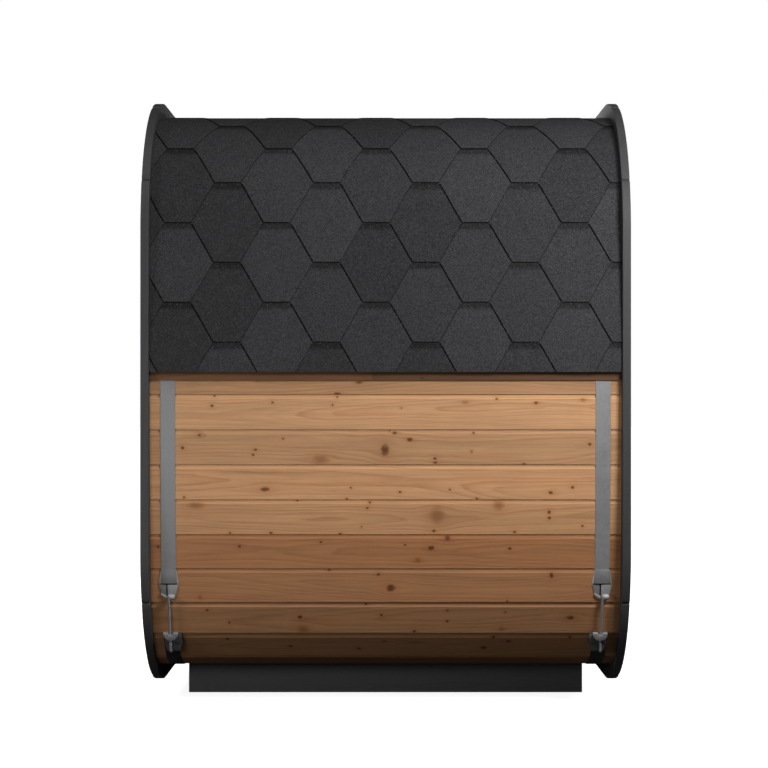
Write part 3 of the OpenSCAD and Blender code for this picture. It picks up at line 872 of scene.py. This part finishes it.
top_start = CORNER_LAST * TOP_PITCH - SEAM_DROP
for side, left in SIDES:
    tabs = Tabs()
    shingle_rows(tabs, SHINGLE_EDGE, top_start, left)
    tabs.object(f"shingle_tabs_{side}", f"shingles_{side}")
tabs = Tabs()
for left in (False, True):
    shingle_rows(tabs, top_start, UPPER.length, left)
tabs.object("shingle_tabs_top", "shingles_top")

# ---- straps and tensioners


def strap_band(run, y):
    """Strap along a run of points given as (inner, outer) pairs, with rounded edges."""
    r = 0.0007
    half = STRAP_W / 2
    sections = []
    for low, high in run:
        rise = (high - low).normalized()
        thick = (high - low).length
        right = ((half, 0), (half, thick - r), (half - r, thick))
        edge = [(-half, 0), *right, *((-along, up) for along, up in right[:0:-1])]
        sections.append([at((low + rise * up).x, y + along, (low + rise * up).y) for along, up in edge])
    return bevelled(loft(sections), 0)


def both_faces(pick, place):
    """Inner and outer point of a strap at a seam or at a distance down the side."""
    return pick(place, 0), pick(place, STRAP_T)


def whole_run(half):
    """A run from the right end to the left end of a strap, from its right half."""
    return half + [tuple(Vector((-p.x, p.y)) for p in pair) for pair in half[-2::-1]]


END_S = BULGE_R * math.asin(STRAP_END_DROP / BULGE_R)
first_seam = -math.floor((END_S - SEAM_DROP) / LOW_PITCH)
upper_half = [both_faces(low_at, END_S)] + [both_faces(seam, k) for k in range(first_seam, STAVES + 1)]
# The lower strap starts beside the lower lug, part of the way between two seams
lug_angle = ROD_LEAN + math.atan(0.064 / (LOW_R + ROD_GAP))
lug_s = BULGE_R * LOWER.side_angle + LOW_R * (lug_angle - LOWER.side_angle) + 0.035
low_first = (lug_s - SEAM_DROP) / LOW_PITCH
above, below = (both_faces(seam, -math.floor(low_first) - i) for i in (0, 1))
lower_half = [tuple(a.lerp(b, low_first - math.floor(low_first)) for a, b in zip(above, below))]
lower_half += [both_faces(seam, -k) for k in range(math.ceil(low_first), STAVES + 1)]


def steel(tone):
    """What Pieces.add takes as board, for steel."""
    return tone, rng.random() * 4, 0, 1


for end, y, tone in STRAPS:
    pieces = Pieces()
    # The strap under the cabin at a tenth of the tone: painted shade
    for half, share in ((upper_half, 1), (lower_half, 0.1)):
        pieces.add(strap_band(whole_run(half), y), (at(0, y, 0), Z, Y, X), steel(tone * share))
    pieces.object(f"strap_band_{end}", "steel", f"strap_{end}", smooth=12)

UP_ROD = Vector((math.sin(ROD_LEAN), math.cos(ROD_LEAN)))
OFF_ROD = Vector((math.cos(ROD_LEAN), -math.sin(ROD_LEAN)))
ROD_FOOT = Vector((LOWER.corner.x, -LOWER.corner.y)) + (LOW_R + ROD_GAP) * OFF_ROD


def on_rod(off, y, up):
    """A point from its place about the rod's foot: away from the cabin, along it, up the rod."""
    p = ROD_FOOT + OFF_ROD * off + UP_ROD * up
    return at(p.x, y, p.y)


def facing(start, down, outward):
    """A place for outlines drawn in (along the cabin, down the strap) and lifted off it."""

    def place(p, lift):
        q = start + down * p[1] + outward * lift
        return at(q.x, p[0], q.y)

    return place


def placed(solid, left, y):
    """A part drawn for the right side at y = 0, moved to its strap."""
    points, faces = flipped(solid) if left else solid
    return [p + Y * y for p in points], faces


def threaded_rod(low, high, r, pitch=0.00175, sides=20):
    """A rod with a helical thread between two plain ends, along the tension rod's line."""
    turns = math.floor((high - low - 0.004) / (pitch / 2))

    def ring(radius, up, rise=0):
        levels = [min(up + rise * i / sides, high - 0.0013) if rise else up for i in range(sides)]
        return [on_rod(off, y, level) for (off, y), level in zip(oval(0, 0, radius, radius, sides), levels)]

    sections = [ring(r * 0.8, low), ring(r * 0.86, low + 0.0012)]
    for step in range(turns + 1):
        sections.append(ring(r if step % 2 else r * 0.88, low + 0.0016 + step * pitch / 2, pitch))
    sections += [ring(r * 0.86, high - 0.0012), ring(r * 0.8, high)]
    return bevelled(loft(sections), 0)


# The saddle, bracket and rod sit a little nearer the middle of the cabin than the upper lug
SADDLE_SHIFT = 0.004
BRACKET_SHIFT = 0.011
ROD_SHIFT = 0.0015
BRACKET_PAINTED_SHADE_TONE = 0.31
LUG_TAIL = STRAP_END_DROP - 0.047
tilt = END_S / BULGE_R
plate_down, plate_out = Vector((-math.sin(tilt), -math.cos(tilt))), Vector((math.cos(tilt), -math.sin(tilt)))
on_plate = facing(low_at(LUG_TAIL, STRAP_T), plate_down, plate_out)
on_seat = facing(ROD_FOOT + UP_ROD * -0.056 + OFF_ROD * -0.006, -UP_ROD, OFF_ROD)

# Parts of the plate. Each has its lowest and highest lift, the width of its bevel and
# its tone, and then its outline in millimetres along the cabin and down the strap.
PLATE_PARTS = (
    # Wings, a near-black bar below the cover that stands as painted shadow in the gap, and the slot, recessed
    # and painted near black as shade
    (-0.0018, -0.0003, 0.0006, 1.9, (
        (-25.8, -2), (-34.2, 44), (-34.2, 49), (34.2, 49), (34.2, 44), (25.8, -2))),
    (-0.001, 0.0008, 0.0002, 0.02, ((-27.5, 46.2), (-27.5, 51.8), (27.5, 51.8), (27.5, 46.2))),
    (-0.003, -0.0018, 0.0002, 0.12, ((-11, 50), (-11, 95), (0, 95), (0, 50))),
    # The left half, darker as painted shade, its lip, lighter as a painted highlight, and the right half
    (-0.0016, 0.0014, 0.001, 0.8, ((-34.2, 51.2), (-26.2, 82), (-20, 91.5), (-8.5, 94.5), (-8.5, 51.2))),
    (-0.001, 0.008, 0.003, 1.4, (
        (-27.8, 80), (-26, 88.5), (-15, 98.5), (-4.5, 100.5), (-4.5, 91.5), (-17, 85))),
    (-0.0016, 0.005, 0.0022, 1.12, (
        (-4, 51.2), (-4, 96), (1, 101), (13, 100), (23, 94.5), (26.4, 85), (34.2, 51.2))),
)


def tapered(sections, width, place):
    """A bevelled body of rectangles: for each its level, half width, and lowest and highest lift."""
    rings = []
    for level, half, low, high in sections:
        corners = ((-half, low), (half, low), (half, high), (-half, high))
        rings.append([place((y, level), lift) for y, lift in corners])
    return bevelled(loft(rings), width)


def crescent():
    """The half round saddle on the lower lug, its horns up, in (along the cabin, down the rod)."""
    outer = oval(0, 0, 0.0256, 0.0275, 32)[:17]
    inner = oval(0, -0.0005, 0.0085, 0.007, 24)[:13]
    return outer + inner[::-1]


def tensioner_parts():
    """Solids of one tensioner, each with its tone and how far it sits toward the cabin's middle."""
    # The end of the upper strap, lifted over the plate
    cover = tapered(((-0.002, 0.026, 0, 0.0002), (0.0466, 0.027, 0, 0.0072)), 0.0006, on_plate)
    parts = [(cover, 0.76, 0)]
    for near, far, bevel, tone, outline in PLATE_PARTS:
        outline = [(y / 1000, down / 1000) for y, down in outline]
        parts.append((prism(outline, near, far, bevel, place=on_plate), tone, 0))
    # The boss that the rod screws into, beside the plate's slot, lighter than the plate as painted light
    boss = oval(-0.0085, 0.0745, 0.0105, 0.0105, 28)
    boss = prism(boss, -0.0025, 0.0232, 0.0075, place=lambda p, y: on_rod(p[0], y, p[1]))
    parts.append((boss, 1.5, 0))
    # The lower lug: a bracket, its end that narrows down to the lower strap, and the saddle. The bracket and
    # its end are dark as painted shade, and the saddle light as painted light
    body = ((-0.034, -0.0255), (-0.0022, -0.03), (-0.0022, 0.03), (-0.034, 0.0255))
    bracket = prism(body, -0.1, -0.07, 0.0022, place=lambda p, up: on_rod(p[0], p[1], up))
    stations = [(up, half, -0.03, -0.006) for up, half in ((-0.1, 0.0295), (-0.116, 0.0262), (-0.13, 0.0225))]
    tail = tapered(stations, 0.0015, lambda p, off: on_rod(off, p[0], p[1]))
    parts += [(solid, BRACKET_PAINTED_SHADE_TONE, BRACKET_SHIFT) for solid in (bracket, tail)]
    saddle = prism(crescent(), 0.0002, 0.0165, 0.0016, place=on_seat)
    parts.append((saddle, 1.3, SADDLE_SHIFT))
    return parts


for end, y, tone in STRAPS:
    for side, left in SIDES:
        pieces = Pieces()
        for solid, share, inward in tensioner_parts():
            solid = placed(solid, left, y - math.copysign(inward, y))
            pieces.add(solid, (at(0, y, 0), Z, Y, X), steel(tone * share))
        pieces.object(f"tensioner_lugs_{end}_{side}", "steel", f"tensioner_{end}_{side}", smooth=32)
pieces = Pieces()
for _, y, tone in STRAPS:
    for left in (False, True):
        solid = placed(threaded_rod(-0.13, 0.08, 0.005), left, y - math.copysign(ROD_SHIFT, y))
        pieces.add(solid, (at(0, y, 0), Z, Y, X), steel(tone * 0.74))
pieces.object("threaded_rods", "steel", "tension_rods", smooth=40)

# ---- base


UNDERSIDE = [seam(-k, 0) for k in range(CORNER_FIRST, STAVES + 1)]


def shell_under(x):
    """Height of the shell's underside at x, about its middle."""
    a, b = next((a, b) for a, b in zip(UNDERSIDE, UNDERSIDE[1:]) if b.x <= abs(x) <= a.x)
    return a.y + (b.y - a.y) * (abs(x) - a.x) / (b.x - a.x)


def timber_outline(x0, x1):
    """A base timber seen from the end, cut to the underside of the shell."""
    between = [(s * p.x, p.y) for s in (1, -1) for p in UNDERSIDE if x0 < s * p.x < x1]
    over = [(x1, shell_under(x1)), (x0, shell_under(x0))] + between
    over = sorted({(round(x, 6), round(z, 6)) for x, z in over}, key=lambda p: -p[0])
    return [(x0, -MIDDLE_Z), (x1, -MIDDLE_Z)] + over


def painted(tone):
    """What Pieces.add takes as board, for a base timber."""
    return tone, some_board()[1], 0, 0.006


for side, sx in (("right", 1), ("left", -1)):
    x0, x1 = sorted((sx * (BASE_X - TIMBER_T), sx * BASE_X))
    solid = prism(timber_outline(x0, x1), -BASE_END, BASE_END, 0.002)
    axes = (at(x1, 0, -MIDDLE_Z), Y, Z, X)
    single(f"base_beam_timber_{side}", "black_paint", f"base_beam_{side}", solid, axes, painted(3.15))
bearer_y = BASE_END - TIMBER_T / 2
inner_x = BASE_X - TIMBER_T - 0.0002
for place, y in (("front", -bearer_y), ("middle", 0), ("back", bearer_y)):
    solid = prism(timber_outline(-inner_x, inner_x), y - TIMBER_T / 2, y + TIMBER_T / 2, 0.002)
    axes = (at(0, y, -MIDDLE_Z), X, Z, Y)
    single(f"base_bearer_timber_{place}", "black_paint", f"base_bearer_{place}", solid, axes, painted(2.6))

# ---- end walls

INSIDE = [seam(k, -STAVE_T - 0.0003) for k in range(-STAVES, STAVES + 1)]
INSIDE = INSIDE + [Vector((-p.x, p.y)) for p in INSIDE[-2:0:-1]]
INSIDE_LOW, INSIDE_TOP = INSIDE[0].y, INSIDE[2 * STAVES].y
WALL_PITCH = 0.1209
WALL_LOW = -SEAM_DROP - 9 * WALL_PITCH
GROOVE = 0.003


def span(fixed, axis):
    """Lowest and highest coordinate along an axis where a line at fixed crosses the inside outline."""
    found = []
    for a, b in zip(INSIDE, INSIDE[1:] + INSIDE[:1]):
        a0, a1, b0, b1 = (a.x, a.y, b.x, b.y) if axis == "z" else (a.y, a.x, b.y, b.x)
        if min(a0, b0) <= fixed <= max(a0, b0) and abs(a0 - b0) > 1e-9:
            found.append(a1 + (b1 - a1) * (fixed - a0) / (b0 - a0))
    return min(found), max(found)


def board_stations(x0, x1, z0, z1):
    """Places along a wall board: evenly, and where it meets a corner of the inside outline."""
    count = round((x1 - x0) / 0.09)
    places = {x0 + (x1 - x0) * i / count for i in range(count + 1)}
    places |= {p.x for p in INSIDE if x0 < p.x < x1 and z0 < p.y < z1}
    places |= {x for z in (z0, z1) for x in span(z, "x") if x0 < x < x1}
    apart = []
    for x in sorted(places, key=abs):
        if all(abs(x - other) > 0.0015 for other in apart):
            apart.append(x)
    return sorted(apart)


def board_section(x, y0, y1, z0, z1):
    """A wall board's cross-section at x, grooved at its edges, clipped to the inside of the shell."""
    low, high = span(x, "z")
    a, b = max(z0, low), min(z1, high)
    if b - a < 0.0006:
        a, b = (a + b) / 2 - 0.0003, (a + b) / 2 + 0.0003
    g = min(GROOVE, (b - a) / 3)
    low = ((y0 + g, a), (y1 - g, a), (y1, a + g))
    high = ((y1, b - g), (y1 - g, b), (y0 + g, b), (y0, b - g))
    return [at(x, y, z) for y, z in (*low, *high, (y0, a + g))]


def wall_board(pieces, x0, x1, z0, z1, y0):
    """A wall board with a V groove at its long edges, its outer face or its inner one at y0."""
    reach = [span(z, "x")[1] for z in (z0, z1, (z0 + z1) / 2)] + [abs(p.x) for p in INSIDE if z0 < p.y < z1]
    limit = max(reach) - 0.0004
    x0, x1 = max(x0, -limit), min(x1, limit)
    sections = [board_section(x, y0, y0 + STAVE_T, z0, z1) for x in board_stations(x0, x1, z0, z1)]
    axes = (at((x0 + x1) / 2, y0, z1), X, -Z, Y)
    board = some_board()
    pieces.add(bevelled(loft(sections), 0), axes, board, some_knots((x1 - x0) / 2, z1 - z0))


def wall_rows(z_low, z_high):
    """Heights of the boards' edges between two heights."""
    inside = [WALL_LOW + i * WALL_PITCH for i in range(19)]
    edges = [z_low] + [z for z in inside if z_low + 0.012 < z < z_high - 0.012] + [z_high]
    return list(zip(edges, edges[1:]))


for name, x0, x1, z_low, z_high, y0 in (
    ("front_wall_left", -RING_HALF, -DOOR_HALF_W, INSIDE_LOW, INSIDE_TOP, -WALL_OUTER),
    ("front_wall_right", DOOR_HALF_W, RING_HALF, INSIDE_LOW, INSIDE_TOP, -WALL_OUTER),
    ("front_wall_head", -DOOR_HALF_W, DOOR_HALF_W, FRAME_TOP, INSIDE_TOP, -WALL_OUTER),
    ("front_wall_sill", -DOOR_HALF_W, DOOR_HALF_W, INSIDE_LOW, SILL_TOP, -WALL_OUTER),
    ("back_wall", -RING_HALF, RING_HALF, INSIDE_LOW, INSIDE_TOP, WALL_INNER),
):
    pieces = Pieces()
    for z0, z1 in wall_rows(z_low, z_high):
        wall_board(pieces, x0, x1, z0, z1, y0)
    pieces.object(name + "_boards", "thermo_wood", name)

# ---- door

FRAME_PROUD = 0.012
DOOR_FRONT, DOOR_BACK = -WALL_OUTER - FRAME_PROUD, -WALL_INNER + FRAME_PROUD
DOOR_X = DOOR_HALF_W - MEMBER_W
DOOR_GAP = 0.003
GLASS_T = 0.008
GLASS_HALF_W = DOOR_X - DOOR_GAP
GLASS_LOW, GLASS_HIGH = SILL_TOP + MEMBER_W + DOOR_GAP, FRAME_TOP - MEMBER_W - DOOR_GAP
GLASS_FRONT, GLASS_BACK = -WALL_OUTER, -WALL_OUTER + GLASS_T
pieces = Pieces()
for (x0, z0), (x1, z1), along in (
    ((-DOOR_HALF_W, SILL_TOP), (-DOOR_X, FRAME_TOP), Z),
    ((DOOR_X, SILL_TOP), (DOOR_HALF_W, FRAME_TOP), Z),
    ((-DOOR_X, SILL_TOP), (DOOR_X, SILL_TOP + MEMBER_W), X),
    ((-DOOR_X, FRAME_TOP - MEMBER_W), (DOOR_X, FRAME_TOP), X),
):
    solid = block((x0, DOOR_FRONT, z0), (x1, DOOR_BACK, z1), 0.0022)
    pieces.add(solid, (at(x0, DOOR_FRONT, z0), along, Y.cross(along), Y), (*some_board()[:2], 0, 0.007))
pieces.object("door_frame_members", "black_paint", "door_frame")
pane = block((-GLASS_HALF_W, GLASS_FRONT, GLASS_LOW), (GLASS_HALF_W, GLASS_BACK, GLASS_HIGH), 0.0012)
single("door_glass_pane", "glass", "door_glass", pane, (at(0, GLASS_FRONT, 0), Z, X, Y), (1, 1, 0, 1))

# Space between two parts that lie on each other
FIT = 0.0001

# Hinges: two clamp plates on the glass, each with two screws, and a knuckle at the frame
HINGE_H, HINGE_IN = 0.08, 0.2
CLAMP_X = (-DOOR_X + 0.004, -DOOR_X + 0.055)
CLAMP_T = 0.0079
SCREW_X = -DOOR_X + 0.034
SCREW_R, SCREW_DEPTH = 0.0062, 0.0014
SCREW_HEIGHTS = (0.018, 0.062)
KNUCKLE_X, KNUCKLE_Y = -DOOR_X + 0.0065, (GLASS_FRONT + GLASS_BACK) / 2
HINGE_TONE = 1.05
pieces = Pieces()
for z in (GLASS_LOW + HINGE_IN, GLASS_HIGH - HINGE_IN - HINGE_H):
    for toward, face in ((-1, GLASS_FRONT - FIT), (1, GLASS_BACK + FIT)):
        out = face + toward * CLAMP_T
        y0, y1 = sorted((face, out))
        parts = [block((CLAMP_X[0], y0, z), (CLAMP_X[1], y1, z + HINGE_H), 0.0018)]
        for height in SCREW_HEIGHTS:
            screw = oval(SCREW_X, z + height, SCREW_R, SCREW_R, 20)
            parts.append(prism(screw, *sorted((out - toward * SCREW_DEPTH, out - toward * FIT)), 0.0005))
        for solid in parts:
            pieces.add(solid, (at(-DOOR_X, y0, z), Z, X, Y), steel(HINGE_TONE))
    knuckle = oval(KNUCKLE_X, KNUCKLE_Y, 0.0062, 0.011, 24)
    solid = prism(knuckle, z, z + HINGE_H, 0.0008, place=lambda p, up: at(p[0], p[1], up))
    pieces.add(solid, (at(-DOOR_X, 0, z), Z, X, Y), (HINGE_TONE, 2, 0, 1))
pieces.object("door_hinge_clamps", "steel", "door_hinges", smooth=30)

# Handle: a bar on two posts, on each side of the glass
HANDLE_X, HANDLE_Z = GLASS_HALF_W - 0.07, SILL_TOP + 0.847
BAR_HALF_W, BAR_HALF_H = 0.015, 0.15
POST_R, POST_LENGTH, POST_Z = 0.009, 0.032, 0.11
BAR_OUT = 0.056
pieces = Pieces()
for toward, face in ((-1, GLASS_FRONT), (1, GLASS_BACK)):
    y0, y1 = sorted((face + toward * BAR_OUT, face + toward * (POST_LENGTH + FIT)))
    x0, x1 = HANDLE_X - BAR_HALF_W, HANDLE_X + BAR_HALF_W
    bar = block((x0, y0, HANDLE_Z - BAR_HALF_H), (x1, y1, HANDLE_Z + BAR_HALF_H), 0.005, 3)
    pieces.add(bar, (at(x0, y0, HANDLE_Z), Z, X, Y), (0.95, rng.random() * 4, 0.05, 0.004))
    for z in (HANDLE_Z - POST_Z, HANDLE_Z + POST_Z):
        y0, y1 = sorted((face, face + toward * POST_LENGTH))
        post = prism(oval(HANDLE_X, z, POST_R, POST_R, 24), y0, y1, 0.0008)
        pieces.add(post, (at(HANDLE_X, y0, z), Y, X, Z), (0.85, rng.random() * 4, 0.05, 0.004))
pieces.object("door_handle_bars", "thermo_wood", "door_handles", smooth=32)

# ---- floor

FLOOR_LOW = SILL_TOP - 0.022
FLOOR_HALF_W = span(FLOOR_LOW, "x")[1] - 0.013
FLOOR_FRONT, FLOOR_BACK = -WALL_INNER + 0.0125, WALL_INNER - 0.0003
PLANKS = 13
PLANK_W = 2 * FLOOR_HALF_W / PLANKS
PLANK_GAP = 0.003
pieces = Pieces()
for i in range(PLANKS):
    x0 = -FLOOR_HALF_W + i * PLANK_W
    low = x0 + (PLANK_GAP if i else 0)
    high = x0 + PLANK_W - (PLANK_GAP if i < PLANKS - 1 else 0)
    plank = block((low, FLOOR_FRONT, FLOOR_LOW), (high, FLOOR_BACK, SILL_TOP), 0.0018)
    board = some_board()
    knots = some_knots(0.35, PLANK_W)[:KNOT_SLOTS]
    pieces.add(plank, (at(x0, 0, SILL_TOP), Y, X, -Z), board, knots)
pieces.object("floor_board_planks", "thermo_wood", "floor_boards")
pieces = Pieces()
for x in (-FLOOR_HALF_W * 2 / 3, 0, FLOOR_HALF_W * 2 / 3):
    x0, x1 = x - TIMBER_T / 2, x + TIMBER_T / 2
    first, last = [(edge, span(edge, "z")[0]) for edge in (x0, x1)]
    under = sorted((p.x, p.y) for p in INSIDE if x0 < p.x < x1 and p.y < 0)
    outline = [first, *under, last, (x1, FLOOR_LOW), (x0, FLOOR_LOW)]
    joist = prism(outline, -FLOOR_BACK, FLOOR_BACK, 0.0015)
    pieces.add(joist, (at(x0, 0, FLOOR_LOW), Y, -Z, X), some_board())
pieces.object("floor_joist_timbers", "thermo_wood", "floor_joists")

# ---- stage, light, camera

# Square lamps: place, what they aim at, width and power
for name, spot, aim, size, power in (
    ("key", (2.6, 1.5, 2.25), (1, 0, 1.1), 0.7, 57),
    ("high", (2.6, -0.7, 4.9), (1, 0, 1.1), 0.9, 41),
    ("side", (2.6, -2.5, 1.6), (1, 0, 1.1), 0.6, 17),
    ("low", (2.6, -1, 0.7), (1, 0, 0.6), 0.5, 6),
    ("front", (-2.1, -4, 2.4), (0, -0.8, 1.1), 0.9, 210),
    ("back", (-0.3, 4, 1.5), (0, 0.8, 1.1), 0.9, 125),
    ("left", (-3.4, -0.6, 1.7), (-1, 0, 1.1), 1.2, 110),
):
    data = bpy.data.lights.new(name, "AREA")
    data.size = size
    data.energy = power
    lamp = added(name, data)
    lamp.location = spot
    lamp.rotation_euler = (Vector(aim) - Vector(spot)).to_track_quat("-Z", "Y").to_euler()
    lamp.visible_camera = False

# The world looks white, and lights the cabin only a little
sky = Graph(bpy.data.worlds.new("studio"))
backdrop = sky.mix(sky.ray("Camera"), (0.04, 0.04, 0.04), (1, 1, 1))
bpy.context.scene.world = sky.finish(sky.value("Background", {0: backdrop}), "OutputWorld")


def floor_material():
    """A pale floor: white to the camera, with its shadow, and dull to other rays."""
    g = Graph(bpy.data.materials.new("studio_floor"))
    x, y, _, _ = g.attribute("place")
    far = g.math("SQRT", x * x + y * y)
    glow = g.value("Emission", {"Strength": g.between(far, 2, 7, 0.9, 1.06)})
    pale, dull = (g.value("BsdfDiffuse", {0: (grey, grey, grey)}) for grey in (0.5, 0.05))
    seen = g.value("AddShader", {0: glow, 1: pale})
    return g.finish(g.value("MixShader", {0: g.ray("Camera"), 1: dull, 2: seen}))


FLOOR_REACH = 40
corners = [(x * FLOOR_REACH, y * FLOOR_REACH, 0) for x, y in ((-1, -1), (1, -1), (1, 1), (-1, 1))]
floor_mesh = new_mesh("studio_floor", corners, [[0, 1, 2, 3]])
fill(floor_mesh, "place", "FLOAT_VECTOR", "POINT", [c for corner in corners for c in corner])
floor_mesh.materials.append(floor_material())
floor = added("studio_floor", floor_mesh)

camera = added("camera", bpy.data.cameras.new("camera"))
camera.data.lens = 85.07
camera.location = (7.223, -0.0056, 1.129)
camera.rotation_euler = (math.radians(90), 0, math.radians(90))
bpy.context.scene.camera = camera
bpy.context.scene.view_settings.view_transform = "Standard"
